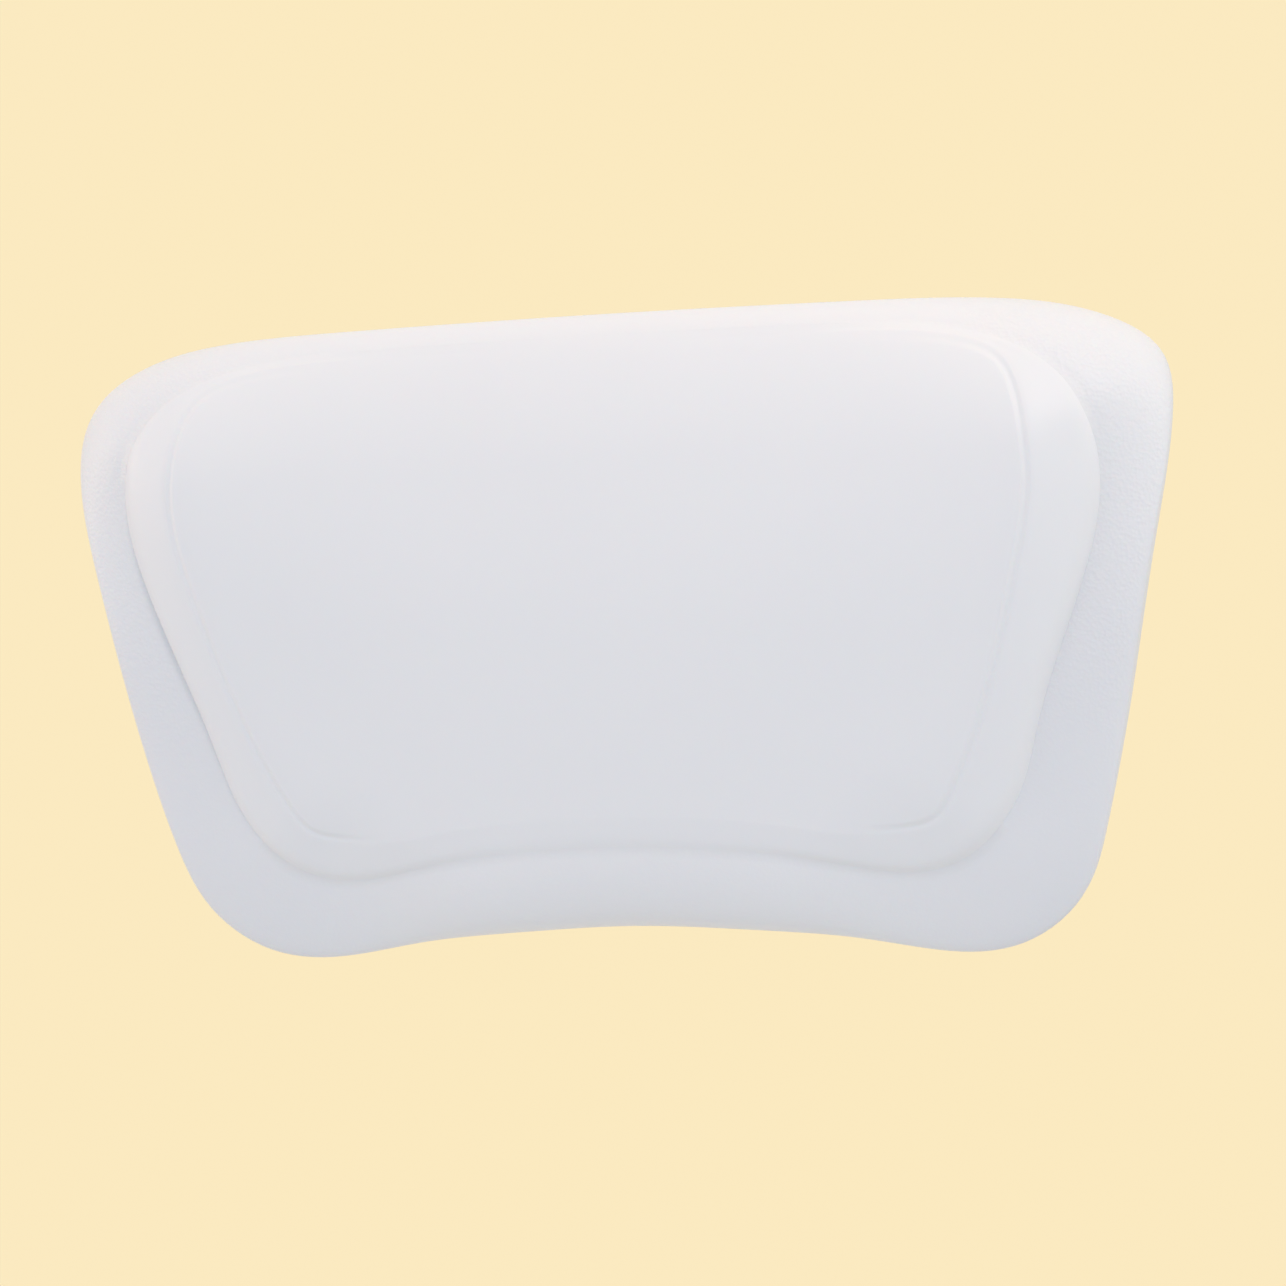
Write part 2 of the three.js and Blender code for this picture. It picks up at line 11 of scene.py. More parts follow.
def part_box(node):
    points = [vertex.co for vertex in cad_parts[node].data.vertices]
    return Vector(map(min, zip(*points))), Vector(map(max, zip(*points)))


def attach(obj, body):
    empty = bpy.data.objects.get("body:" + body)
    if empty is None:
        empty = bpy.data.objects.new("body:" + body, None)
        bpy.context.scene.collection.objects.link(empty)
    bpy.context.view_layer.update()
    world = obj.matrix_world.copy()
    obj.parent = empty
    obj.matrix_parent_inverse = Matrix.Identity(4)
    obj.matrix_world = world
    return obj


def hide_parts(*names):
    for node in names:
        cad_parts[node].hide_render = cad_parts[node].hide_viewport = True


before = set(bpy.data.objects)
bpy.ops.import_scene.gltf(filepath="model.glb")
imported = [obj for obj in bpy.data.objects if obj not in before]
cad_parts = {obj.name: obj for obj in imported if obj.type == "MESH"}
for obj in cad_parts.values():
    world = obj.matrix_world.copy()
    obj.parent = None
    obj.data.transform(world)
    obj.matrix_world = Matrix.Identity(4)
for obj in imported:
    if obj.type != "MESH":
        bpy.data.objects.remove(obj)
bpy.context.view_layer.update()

MM = 0.001

# Sizes of the moulding that the frame gives
skin_low, skin_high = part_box("face_skin")
HALF_WIDTH = 168.5 * MM
BOTTOM = skin_low.z
BACK_DEPTH = -skin_high.y
HEIGHT = 192.6 * MM
PARTING_DEPTH = 30 * MM
CREST_RISE = 24.5 * MM
SKIN_WALL = 2 * MM
SEAM_GAP = 0.3 * MM
FOAM_GAP = 1.2 * MM

# Samples round the closed lines of the moulding, and how their shared spline is spaced
AROUND = 288
FINE_SAMPLES = 6000
KNOT_POWER = 0.75

# The widest outline, from the middle of the top edge down the right side to the middle of the bottom edge.
# Each row holds a share of HALF_WIDTH, a share of HEIGHT and how far the line stands forward, of CREST_RISE.
OUTLINE_SHARES = [
    (0, 1, 0.042),
    (0.4556, 0.9969, -0.001),
    (0.7086, 0.9882, -0.155),
    (0.872, 0.9593, -0.3),
    (0.9767, 0.9007, -0.296),
    (1, 0.8087, 0.032),
    (0.9609, 0.6079, 0.298),
    (0.9097, 0.384, 0.268),
    (0.8556, 0.188, 0.15),
    (0.8085, 0.0883, 0.003),
    (0.7079, 0.0179, -0.105),
    (0.5822, 0, -0.208),
    (0.4046, 0.0225, -0.25),
    (0.202, 0.0386, -0.25),
    (0, 0.046, -0.25),
]
# The foot of the pad's lip. The third share is how far it lies behind the pad's own depth, of CREST_RISE.
FOOT_SHARES = [
    (0, 0.9671, 0),
    (0.4408, 0.9646, 0),
    (0.6335, 0.9513, 0.03),
    (0.7677, 0.9132, 0.05),
    (0.8486, 0.8487, 0.17),
    (0.8836, 0.7578, 0.29),
    (0.8531, 0.5876, 0.36),
    (0.7686, 0.3904, 0.26),
    (0.7182, 0.254, 0.21),
    (0.6666, 0.1896, 0.17),
    (0.5915, 0.144, 0.13),
    (0.4941, 0.133, 0.1),
    (0.3419, 0.1597, 0.08),
    (0.1766, 0.1777, 0.055),
    (0, 0.1843, 0.05),
]
# The fine groove that frames the dish
GROOVE_SHARES = [
    (0, 0.945),
    (0.3822, 0.9445),
    (0.5599, 0.94),
    (0.6778, 0.9225),
    (0.7445, 0.876),
    (0.7702, 0.7738),
    (0.7476, 0.6126),
    (0.6762, 0.3994),
    (0.6194, 0.2816),
    (0.5809, 0.2267),
    (0.527, 0.2072),
    (0.4416, 0.2051),
    (0.3064, 0.2226),
    (0.1586, 0.2367),
    (0, 0.2402),
]

# The pad: a roll from its edge, a taper towards the neck, a bow towards the top and a dish across its width
ROLL_REACH = 45 * MM
ROLL_NECK_REACH = 28 * MM
ROLL_CORNER_REACH = 70 * MM
ROLL_LOW_HEIGHT = 40 * MM
ROLL_HIGH_HEIGHT = 90 * MM
ROLL_POWER = 2
ROLL_NECK_POWER = 2.6
NECK_HALF = 45 * MM
CORNER_HALF = 95 * MM
TAPER_HEIGHT = 148 * MM
TAPER_SHARE = 0.57
BOW_HEIGHT = 108 * MM
BOW_SHARE = 0.12
DISH_FALL = 6.5 * MM
DISH_LOW_SHARE = 0.4
DISH_LOW_HEIGHT = 100 * MM
DISH_HIGH_HEIGHT = 190 * MM
DISH_HALF_TOP = 131 * MM
DISH_HALF_BOTTOM = 96 * MM
DISH_POWER = 3
DISH_CENTRE_HEIGHT = 108 * MM
SIDE_FALL = 3 * MM
SIDE_START_SHARE = 0.3
SIDE_HIGH_HEIGHT = 150 * MM
SIDE_LOW_HEIGHT = 70 * MM

# The valley behind the lip: how it falls from the rim, and the share of it that comes beside the foot
VALLEY_POWER = 0.8
COVE_SHARE = 0.06
COVE_POWER = 4
# Higher up, where there is this much valley, the rim rises evenly to the foot instead
PLAIN_POWER = 1.6
PLAIN_HEIGHTS = (90 * MM, 150 * MM)
PLAIN_VALLEY = 5 * MM

# The lip round the pad: its height as a share of the valley, low down and higher up, its edge and its swell
LIP_SHARE = 0.42
LIP_HIGH_SHARE = 0.16
LIP_EDGE = 2.3 * MM
LIP_EDGE_POWER = 1.5
LIP_ROUNDNESS = 0.12

# The groove, the step from it up to the dish, and where it dies away along the top and across the neck
GROOVE_HALF_WIDTH = 0.8 * MM
GROOVE_REACH = 2.2
GROOVE_FALL = 0.3 * MM
GROOVE_STEP = 0.5 * MM
GROOVE_GONE_HEIGHT = 184 * MM
GROOVE_FULL_HEIGHT = 168 * MM
GROOVE_NECK_HALF = 74 * MM
GROOVE_CORNER_HALF = 92 * MM

# The leather grain of the rim, strongest at the sides, which also sets the painted shade in its pits
GRAIN_ACROSS = (95 * MM, 135 * MM)
GRAIN_HEIGHTS = (40 * MM, 105 * MM)
GRAIN_LOW_SHARE = 0.2
# The rim's low sides get painted shade, a slightly darker colour
PAINTED_SHADE_ACROSS = (60 * MM, 130 * MM)
PAINTED_SHADE_HEIGHTS = (150 * MM, 90 * MM)

# The rounded back edge
FLANGE_WIDTH = 5 * MM
EDGE_RADIUS = 11 * MM
# Distances from the outline are blended over this share of themselves, so that the corners stay round
EDGE_BLEND_SHARE = 0.09
EDGE_BLEND_LEAST = 0.03 * MM

# Edges that bend more than this are shaded as edges
SHARP_ANGLE = math.radians(50)
WELD_DISTANCE = 0.001 * MM
FLAT_TOLERANCE = 1e-7

# Rings across each part of the surface; the lip's lie closer together near its foot
EDGE_RINGS = 9
SHOULDER_RINGS = 14
LIP_RINGS = 22
LIP_SPACING_POWER = 1.8
GROOVE_RINGS = 9
DISH_RINGS = 18

# Suction cups and sockets, which the frame places
CUP_CORNERS = ["upper_left", "upper_right", "lower_left", "lower_right"]
LATHE_STEPS = 96
CORNER_STEPS = 5
HOLLOW_STEPS = 24
CUP_RADIUS = 25 * MM
CUP_LAND = 2.4 * MM
CUP_HOLLOW = 6.5 * MM
# Profiles as rows of radius, distance from the bath's wall and rounding of that corner, in millimetres
CUP_OUTSIDE = [
    (25, 0, 0.4),
    (25, 1.2, 0.5),
    (19.5, 4.8, 2.5),
    (14, 7.8, 2.5),
    (8, 10, 1.2),
    (4, 10, 0.8),
    (4, 13.7, 0.5),
    (6.2, 13.7, 0.5),
    (6.2, 15.7, 0.7),
    (3.6, 17.7, 0.8),
]
SOCKET_OUTLINE = [
    (4.3, 10.3, 0.4),
    (13, 10.3, 0.5),
    (13, 11.9, 0.5),
    (8.5, 11.9, 0.3),
    (8.5, 17.3, 0.2),
    (9.4, 17.3, 0.3),
    (9.4, 18.3, 0.4),
    (8.5, 20.3, 0.5),
    (6.5, 20.3, 0.4),
    (6.5, 13.4, 0.4),
    (4.3, 13.4, 0.3),
]
TAB_END = 34 * MM
TAB_HALF = 4.5 * MM
TAB_WALL = 1.4 * MM
TAB_LIFT = 0.4 * MM
TAB_ROUND = 0.35 * MM
TAB_ROUND_STEPS = 3
TAB_RIM_ANGLE = 1
TAB_RIB_RADIUS = 0.7 * MM
TAB_RIB_RINGS = 9
TAB_STEPS = 24

# The back panel and its pans
PANEL_ROUND = 0.8 * MM
PAN_RADIUS = 28.5 * MM
PAN_LIP = 1.6 * MM
PAN_FLOOR = 12.2 * MM
PAN_FILLET = 1.5 * MM
PAN_HOLE = 8.8 * MM
PAN_STEPS = 120
PAN_ROUND_STEPS = 8
FLAT_MARGIN = 0.6 * MM

# Camera, as it stood for the photograph
CAMERA_AZIMUTH = math.radians(16.4)
CAMERA_ELEVATION = math.radians(5.24)
CAMERA_ROLL = math.radians(3.5)
CAMERA_DISTANCE = 1.0531
CAMERA_TARGET = Vector((8.6 * MM, -PARTING_DEPTH, BOTTOM + 94.7 * MM))
LENS = 99.2
SENSOR = 36

# Colours of the light, the backdrop and the floor
WORLD_COLOR = (0.7, 0.77, 0.875, 1)
BACKDROP_COLOR = (0.965, 0.82, 0.53, 1)
FLOOR_COLOR = (0.8, 0.79, 0.76, 1)
FLOOR_HALF = 4
FLOOR_DROP = 0.4

# Softboxes: name, azimuth and elevation in degrees, distance and size in metres, power in watts and colour
LAMPS = [
    ("key_lamp", 29, 37, 1.2, 0.3, 2.36, (1, 0.88, 0.84)),
    ("right_lamp", 85, 20, 1.2, 0.5, 1.7, (1, 0.84, 0.56)),
    ("left_lamp", -80, 8, 1.2, 0.5, 2.4, (1, 0.71, 0.5)),
    ("top_lamp", 10, 75, 1.1, 0.7, 2.3, (1, 0.6, 0.15)),
]

# How far a moulded material's roughness strays from its own value
GLOSS_SPREAD = 0.06


# Closed lines

def periodic_spline(knots, values, at):
    """A closed cubic spline through values at knots; the last knot is the first again."""
    gaps = np.diff(knots)
    count = len(gaps)
    system = np.zeros((count, count))
    steps = np.roll(values, -1, axis=0) - values
    slopes = steps / gaps[:, None]
    for i in range(count):
        before = gaps[i - 1]
        after = gaps[i]
        system[i, (i - 1) % count] += before
        system[i, i] += 2 * (before + after)
        system[i, (i + 1) % count] += after
    bends = np.linalg.solve(system, 6 * (slopes - np.roll(slopes, 1, axis=0)))
    span = np.clip(np.searchsorted(knots, at, side="right") - 1, 0, count - 1)
    after = (span + 1) % count
    width = gaps[span][:, None]
    left = (knots[span + 1] - at)[:, None]
    right = (at - knots[span])[:, None]
    curved = (bends[span] * left**3 + bends[after] * right**3) / (6 * width)
    low = (values[span] / width - bends[span] * width / 6) * left
    high = (values[after] / width - bends[after] * width / 6) * right
    return curved + low + high


def control_points(shares):
    """Points of a whole closed line as (across, depth, height); the left side mirrors the right."""
    rows = [(*row, 0)[:3] for row in shares]
    right = [(a * HALF_WIDTH, r * CREST_RISE, u * HEIGHT) for a, u, r in rows]
    left = [(-x, y, z) for x, y, z in reversed(right[1:-1])]
    return np.array(right + left)


def shared_knots(points):
    chords = np.linalg.norm(np.roll(points, -1, axis=0) - points, axis=1)
    return np.concatenate([[0], np.cumsum(chords**KNOT_POWER)])


outline_points = control_points(OUTLINE_SHARES)
knots = shared_knots(outline_points)


def even_samples():
    """Spline parameters that lie at even distances along the outline."""
    fine = np.linspace(0, knots[-1], FINE_SAMPLES)
    path = periodic_spline(knots, outline_points, fine)
    travelled = np.concatenate([[0], np.cumsum(np.linalg.norm(np.diff(path, axis=0), axis=1))])
    targets = np.linspace(0, travelled[-1], AROUND, endpoint=False)
    return np.interp(targets, travelled, fine)


samples = even_samples()


def line_through(shares):
    return periodic_spline(knots, control_points(shares), samples)


def inset(line, distance):
    """A closed line moved inwards in its own plane."""
    along = np.roll(line, -1, axis=0) - np.roll(line, 1, axis=0)
    along[:, 1] = 0
    along /= np.linalg.norm(along, axis=1)[:, None]
    moved = line.copy()
    moved[:, 0] += distance * along[:, 2]
    moved[:, 2] -= distance * along[:, 0]
    return moved


# The surface

def smooth_step(value, zero_at, one_at):
    t = np.clip((value - zero_at) / (one_at - zero_at), 0, 1)
    return t * t * (3 - 2 * t)


def quarter_round(share, power):
    """Rises steeply from 0 and levels out at 1; a power of 2 is a quarter of a circle."""
    return (1 - (1 - share) ** power) ** (1 / power)


def from_edge(points):
    """How far each point lies inside the outline, seen square to the wall, and the outline's depth there."""
    starts = outline
    spans = np.roll(outline, -1, axis=0) - starts
    flat = spans[:, [0, 2]]
    away = points[:, None, [0, 2]] - starts[None, :, [0, 2]]
    along = np.clip((away * flat).sum(axis=2) / (flat**2).sum(axis=1), 0, 1)
    apart = np.linalg.norm(away - along[..., None] * flat, axis=2)
    least = apart.min(axis=1)[:, None]
    weight = np.exp((least - apart) / (least * EDGE_BLEND_SHARE + EDGE_BLEND_LEAST))
    weight /= weight.sum(axis=1)[:, None]
    depths = starts[:, 1] + along * spans[:, 1]
    return (weight * apart).sum(axis=1), (weight * depths).sum(axis=1)


def pad_depth(points):
    """The pad's depth: a roll from the edge, a taper towards the neck, a bow, a dish and lower sides."""
    inside, edge_depth = from_edge(points)
    across = np.abs(points[:, 0])
    height = points[:, 2]
    low = smooth_step(height, ROLL_HIGH_HEIGHT, ROLL_LOW_HEIGHT)
    aside = smooth_step(across, NECK_HALF, CORNER_HALF)
    low_reach = ROLL_NECK_REACH + (ROLL_CORNER_REACH - ROLL_NECK_REACH) * aside
    reach = ROLL_REACH + (low_reach - ROLL_REACH) * low
    power = ROLL_POWER + (ROLL_NECK_POWER - ROLL_POWER) * low * (1 - aside)
    roll = quarter_round(np.clip(inside / reach, 0, 1), power)
    below = np.clip(1 - height / TAPER_HEIGHT, 0, 1)
    above = np.clip((height - BOW_HEIGHT) / (HEIGHT - BOW_HEIGHT), 0, 1)
    crest = PARTING_DEPTH + CREST_RISE * (1 - TAPER_SHARE * below**2 - BOW_SHARE * above**2)
    half = DISH_HALF_TOP + (DISH_HALF_BOTTOM - DISH_HALF_TOP) * below
    high = smooth_step(height, DISH_LOW_HEIGHT, DISH_HIGH_HEIGHT)
    fall = DISH_FALL * (DISH_LOW_SHARE + (1 - DISH_LOW_SHARE) * high)
    dish = fall * (1 - np.minimum(across / half, 1) ** DISH_POWER)
    outer = smooth_step(across / half, SIDE_START_SHARE, 1)
    side = SIDE_FALL * outer * smooth_step(height, SIDE_HIGH_HEIGHT, SIDE_LOW_HEIGHT)
    return edge_depth + (crest - dish - side - edge_depth) * roll


def groove_share(line):
    """How much of the groove there is: none along the top and across the neck."""
    below = smooth_step(line[:, 2], GROOVE_GONE_HEIGHT, GROOVE_FULL_HEIGHT)
    return below * smooth_step(np.abs(line[:, 0]), GROOVE_NECK_HALF, GROOVE_CORNER_HALF)


outline = line_through(OUTLINE_SHARES)
outline[:, 1] += PARTING_DEPTH
foot = line_through(FOOT_SHARES)
groove = line_through(GROOVE_SHARES)
valley = foot[:, 1].copy()
foot[:, 1] = pad_depth(foot) - valley
pad_centre = np.array([0, 0, DISH_CENTRE_HEIGHT])
pad_centre[1] = pad_depth(pad_centre[None])[0]


def at_depth(line, depth):
    placed = line.copy()
    placed[:, 1] = depth
    return placed


def back_edge_rings():
    rings = [at_depth(inset(outline, EDGE_RADIUS + FLANGE_WIDTH), BACK_DEPTH)]
    for angle in np.linspace(0, math.pi / 2, EDGE_RINGS):
        inside = EDGE_RADIUS * (1 - math.sin(angle))
        depth = BACK_DEPTH + (outline[:, 1] - BACK_DEPTH) * (1 - math.cos(angle))
        rings.append(at_depth(inset(outline, inside), depth))
    return rings[:-1]


def shoulder_rings():
    """From the parting line over the rim and its valley, or evenly higher up, to the foot of the lip."""
    rings = []
    for angle in np.linspace(0, math.pi / 2, SHOULDER_RINGS):
        share = 1 - math.cos(angle)
        ring = outline + (foot - outline) * share
        fall = (1 - COVE_SHARE) * share**VALLEY_POWER + COVE_SHARE * share**COVE_POWER
        depth = pad_depth(ring) - valley * fall
        plain = outline[:, 1] + (foot[:, 1] - outline[:, 1]) * quarter_round(share, PLAIN_POWER)
        evenly = smooth_step(ring[:, 2], *PLAIN_HEIGHTS) * smooth_step(valley, 0, PLAIN_VALLEY)
        rings.append(at_depth(ring, depth + (plain - depth) * evenly))
    return rings


def groove_ring(offset):
    """A ring beside the groove's centre, offset in half widths; the dish stands a step higher."""
    ring = inset(groove, offset * GROOVE_HALF_WIDTH)
    step = GROOVE_STEP * smooth_step(offset, GROOVE_REACH, -GROOVE_REACH / 2)
    fall = GROOVE_FALL * math.exp(-(offset**2)) + step
    return at_depth(ring, pad_depth(ring) - fall * groove_share(groove))


def lip_rings():
    """From the foot over the lip to the groove: a quick step, a round edge and a long swell."""
    end = groove_ring(-GROOVE_REACH)
    width = np.linalg.norm((end - foot)[:, [0, 2]], axis=1)
    share = LIP_SHARE + (LIP_HIGH_SHARE - LIP_SHARE) * smooth_step(foot[:, 2], *PLAIN_HEIGHTS)
    rings = []
    for t in np.linspace(0, 1, LIP_RINGS)[1:-1] ** LIP_SPACING_POWER:
        ring = foot + (end - foot) * t
        step = 1 - np.exp(-((width * t / LIP_EDGE) ** LIP_EDGE_POWER))
        swell = t + (quarter_round(t, 2) - t) * LIP_ROUNDNESS
        fall = valley * (1 - share * step) * (1 - swell) + GROOVE_STEP * groove_share(groove) * t
        rings.append(at_depth(ring, pad_depth(ring) - fall))
    return rings


def groove_rings():
    return [groove_ring(offset) for offset in np.linspace(-GROOVE_REACH, GROOVE_REACH, GROOVE_RINGS)]


def dish_rings(rim):
    rings = []
    for share in np.linspace(1, 0, DISH_RINGS + 1)[1:-1]:
        ring = pad_centre + (rim - pad_centre) * share
        rings.append(at_depth(ring, pad_depth(ring)))
    return rings


def face_depth(points):
    """The depth of the moulded face at each point, from the nearest samples of its rings."""
    rings = np.concatenate(shoulder_rings() + lip_rings() + groove_rings() + dish_rings(groove))
    depth = np.empty(len(points))
    for i, point in enumerate(points):
        apart = (rings[:, 0] - point[0]) ** 2 + (rings[:, 2] - point[2]) ** 2
        depth[i] = rings[apart.argmin(), 1]
    return depth


# Meshes

def to_frame(points):
    """Points of (across, depth, height) as points of the shared frame."""
    placed = np.empty_like(points)
    placed[:, 0] = points[:, 0]
    placed[:, 1] = -points[:, 1]
    placed[:, 2] = points[:, 2] + BOTTOM
    return placed


def new_piece(name, points, faces, material, smooth=True):
    mesh = bpy.data.meshes.new(name)
    mesh.from_pydata([tuple(p) for p in points], [], faces)
    mesh.polygons.foreach_set("use_smooth", [smooth] * len(mesh.polygons))
    mesh.validate()
    mesh.materials.append(material)
    piece = bpy.data.objects.new(name, mesh)
    bpy.context.scene.collection.objects.link(piece)
    return piece


def band_faces(count, first, second):
    """Quads between two rings of count points that start at the given indices."""
    return [
        (first + i, second + i, second + (i + 1) % count, first + (i + 1) % count)
        for i in range(count)
    ]


def ring_faces(ring_total, count):
    faces = []
    for ring in range(ring_total - 1):
        faces += band_faces(count, ring * count, (ring + 1) * count)
    return faces


def rounded(corners):
    """The (radius, depth) points of a profile in millimetres, each corner softened by its own rounding."""
    points = []
    last = len(corners) - 1
    for i, (radius, depth, rounding) in enumerate(corners):
        here = np.array([radius, depth])
        before = np.array(corners[i - 1][:2]) - here
        after = np.array(corners[0 if i == last else i + 1][:2]) - here
        start = here + before * rounding / np.linalg.norm(before)
        end = here + after * rounding / np.linalg.norm(after)
        for t in np.linspace(0, 1, CORNER_STEPS):
            bend = (1 - t) ** 2 * start + 2 * t * (1 - t) * here + t**2 * end
            points.append((bend[0] * MM, bend[1] * MM))
    return points


def lathe(profile, centre, closed=True):
    """Points and faces of a (radius, depth) profile turned about the depth axis through centre."""
    points = []
    for radius, depth in profile:
        for i in range(LATHE_STEPS):
            angle = 2 * math.pi * i / LATHE_STEPS
            points.append((centre.x + radius * math.sin(angle), -depth, centre.z + radius * math.cos(angle)))
    faces = ring_faces(len(profile), LATHE_STEPS)
    if closed:
        faces += band_faces(LATHE_STEPS, (len(profile) - 1) * LATHE_STEPS, 0)
    return points, faces


def tidied(piece):
    """Welds doubled points and turns every face outwards."""
    shape = bmesh.new()
    shape.from_mesh(piece.data)
    bmesh.ops.remove_doubles(shape, verts=shape.verts, dist=WELD_DISTANCE)
    bmesh.ops.dissolve_degenerate(shape, edges=shape.edges, dist=WELD_DISTANCE)
    bmesh.ops.recalc_face_normals(shape, faces=shape.faces)
    shape.to_mesh(piece.data)
    shape.free()
    piece.data.set_sharp_from_angle(angle=SHARP_ANGLE)
    return piece


def modified(piece, kind, **settings):
    """Adds a modifier and applies it at once."""
    modifier = piece.modifiers.new(kind.lower(), kind)
    for key, value in settings.items():
        setattr(modifier, key, value)
    bpy.context.view_layer.objects.active = piece
    bpy.ops.object.modifier_apply(modifier=modifier.name)
    piece.data.set_sharp_from_angle(angle=SHARP_ANGLE)
    return piece


# Materials

def new_material(name):
    material = bpy.data.materials.new(name)
    material.use_nodes = True
    return material, material.node_tree, material.node_tree.nodes["Principled BSDF"]


def add_node(tree, kind, **settings):
    node = tree.nodes.new(kind)
    for key, value in settings.items():
        if key in node.inputs:
            node.inputs[key].default_value = value
        else:
            setattr(node, key, value)
    return node


def object_space(tree):
    return add_node(tree, "ShaderNodeTexCoord").outputs["Object"]


def skin_material():
    """White integral-skin polyurethane: a leather grain on the rim with painted shade in its pits, painted
    shade on the rim's low sides, and a fine tooth.
    """
    material, tree, shader = new_material("white_polyurethane_skin")
    where = object_space(tree)
    grain_mask = add_node(tree, "ShaderNodeAttribute", attribute_name="grain")
    pebbles = add_node(tree, "ShaderNodeTexVoronoi", feature="SMOOTH_F1")
    pebbles.inputs["Scale"].default_value = 900
    pebbles.inputs["Smoothness"].default_value = 0.25
    tree.links.new(where, pebbles.inputs["Vector"])
    creases = add_node(tree, "ShaderNodeTexNoise")
    creases.inputs["Scale"].default_value = 420
    creases.inputs["Detail"].default_value = 3
    tree.links.new(where, creases.inputs["Vector"])
    relief = add_node(tree, "ShaderNodeMath", operation="ADD")
    tree.links.new(pebbles.outputs["Distance"], relief.inputs[0])
    tree.links.new(creases.outputs["Fac"], relief.inputs[1])
    masked = add_node(tree, "ShaderNodeMath", operation="MULTIPLY")
    tree.links.new(relief.outputs[0], masked.inputs[0])
    tree.links.new(grain_mask.outputs["Fac"], masked.inputs[1])
    grain = add_node(tree, "ShaderNodeBump")
    grain.inputs["Strength"].default_value = 0.45
    grain.inputs["Distance"].default_value = 0.00025
    tree.links.new(masked.outputs[0], grain.inputs["Height"])
    tooth = add_node(tree, "ShaderNodeTexNoise")
    tooth.inputs["Scale"].default_value = 1100
    tooth.inputs["Detail"].default_value = 2
    tree.links.new(where, tooth.inputs["Vector"])
    fine = add_node(tree, "ShaderNodeBump")
    fine.inputs["Strength"].default_value = 0.1
    fine.inputs["Distance"].default_value = 0.0001
    tree.links.new(tooth.outputs["Fac"], fine.inputs["Height"])
    tree.links.new(grain.outputs["Normal"], fine.inputs["Normal"])
    tree.links.new(fine.outputs["Normal"], shader.inputs["Normal"])
    mottle = add_node(tree, "ShaderNodeTexNoise")
    mottle.inputs["Scale"].default_value = 14
    mottle.inputs["Detail"].default_value = 3
    tree.links.new(where, mottle.inputs["Vector"])
    tone = add_node(tree, "ShaderNodeMix", data_type="RGBA")
    tone.inputs["A"].default_value = (0.81, 0.812, 0.835, 1)
    tone.inputs["B"].default_value = (0.83, 0.832, 0.85, 1)
    tree.links.new(mottle.outputs["Fac"], tone.inputs["Factor"])
    # Painted shade: the grain's pits darken the colour a little, by the same relief that bumps it
    pit_painted_shade = add_node(tree, "ShaderNodeMix", data_type="RGBA", blend_type="MULTIPLY")
    pit_painted_shade.inputs["B"].default_value = (0.983, 0.984, 0.986, 1)
    tree.links.new(masked.outputs[0], pit_painted_shade.inputs["Factor"])
    tree.links.new(tone.outputs["Result"], pit_painted_shade.inputs["A"])
    # Painted shade: the rim's low sides are darkened by their point attribute
    painted_shade_mask = add_node(tree, "ShaderNodeAttribute", attribute_name="painted_shade")
    painted_shade_tone = add_node(tree, "ShaderNodeMix", data_type="RGBA", blend_type="MULTIPLY")
    painted_shade_tone.inputs["B"].default_value = (0.955, 0.96, 0.97, 1)
    tree.links.new(painted_shade_mask.outputs["Fac"], painted_shade_tone.inputs["Factor"])
    tree.links.new(pit_painted_shade.outputs["Result"], painted_shade_tone.inputs["A"])
    tree.links.new(painted_shade_tone.outputs["Result"], shader.inputs["Base Color"])
    polish = add_node(tree, "ShaderNodeMapRange")
    polish.inputs["To Min"].default_value = 0.4
    polish.inputs["To Max"].default_value = 0.5
    tree.links.new(mottle.outputs["Fac"], polish.inputs["Value"])
    tree.links.new(polish.outputs["Result"], shader.inputs["Roughness"])
    shader.inputs["Specular IOR Level"].default_value = 0.4
    shader.inputs["Subsurface Weight"].default_value = 0.06
    shader.inputs["Subsurface Scale"].default_value = 0.003
    return material


def moulded_material(name, low, high, roughness, grain_scale, bump_strength, bump_distance):
    """A moulded plastic, foam or skin: two close tones, varied gloss and a fine surface grain."""
    material, tree, shader = new_material(name)
    where = object_space(tree)
    cloud = add_node(tree, "ShaderNodeTexNoise")
    cloud.inputs["Scale"].default_value = 30
    cloud.inputs["Detail"].default_value = 4
    tree.links.new(where, cloud.inputs["Vector"])
    tone = add_node(tree, "ShaderNodeMix", data_type="RGBA")
    tone.inputs["A"].default_value = (*low, 1)
    tone.inputs["B"].default_value = (*high, 1)
    tree.links.new(cloud.outputs["Fac"], tone.inputs["Factor"])
    tree.links.new(tone.outputs["Result"], shader.inputs["Base Color"])
    gloss = add_node(tree, "ShaderNodeMapRange")
    gloss.inputs["To Min"].default_value = roughness - GLOSS_SPREAD
    gloss.inputs["To Max"].default_value = roughness + GLOSS_SPREAD
    tree.links.new(cloud.outputs["Fac"], gloss.inputs["Value"])
    tree.links.new(gloss.outputs["Result"], shader.inputs["Roughness"])
    grain = add_node(tree, "ShaderNodeTexNoise")
    grain.inputs["Scale"].default_value = grain_scale
    grain.inputs["Detail"].default_value = 3
    tree.links.new(where, grain.inputs["Vector"])
    bump = add_node(tree, "ShaderNodeBump")
    bump.inputs["Strength"].default_value = bump_strength
    bump.inputs["Distance"].default_value = bump_distance
    tree.links.new(grain.outputs["Fac"], bump.inputs["Height"])
    tree.links.new(bump.outputs["Normal"], shader.inputs["Normal"])
    return material


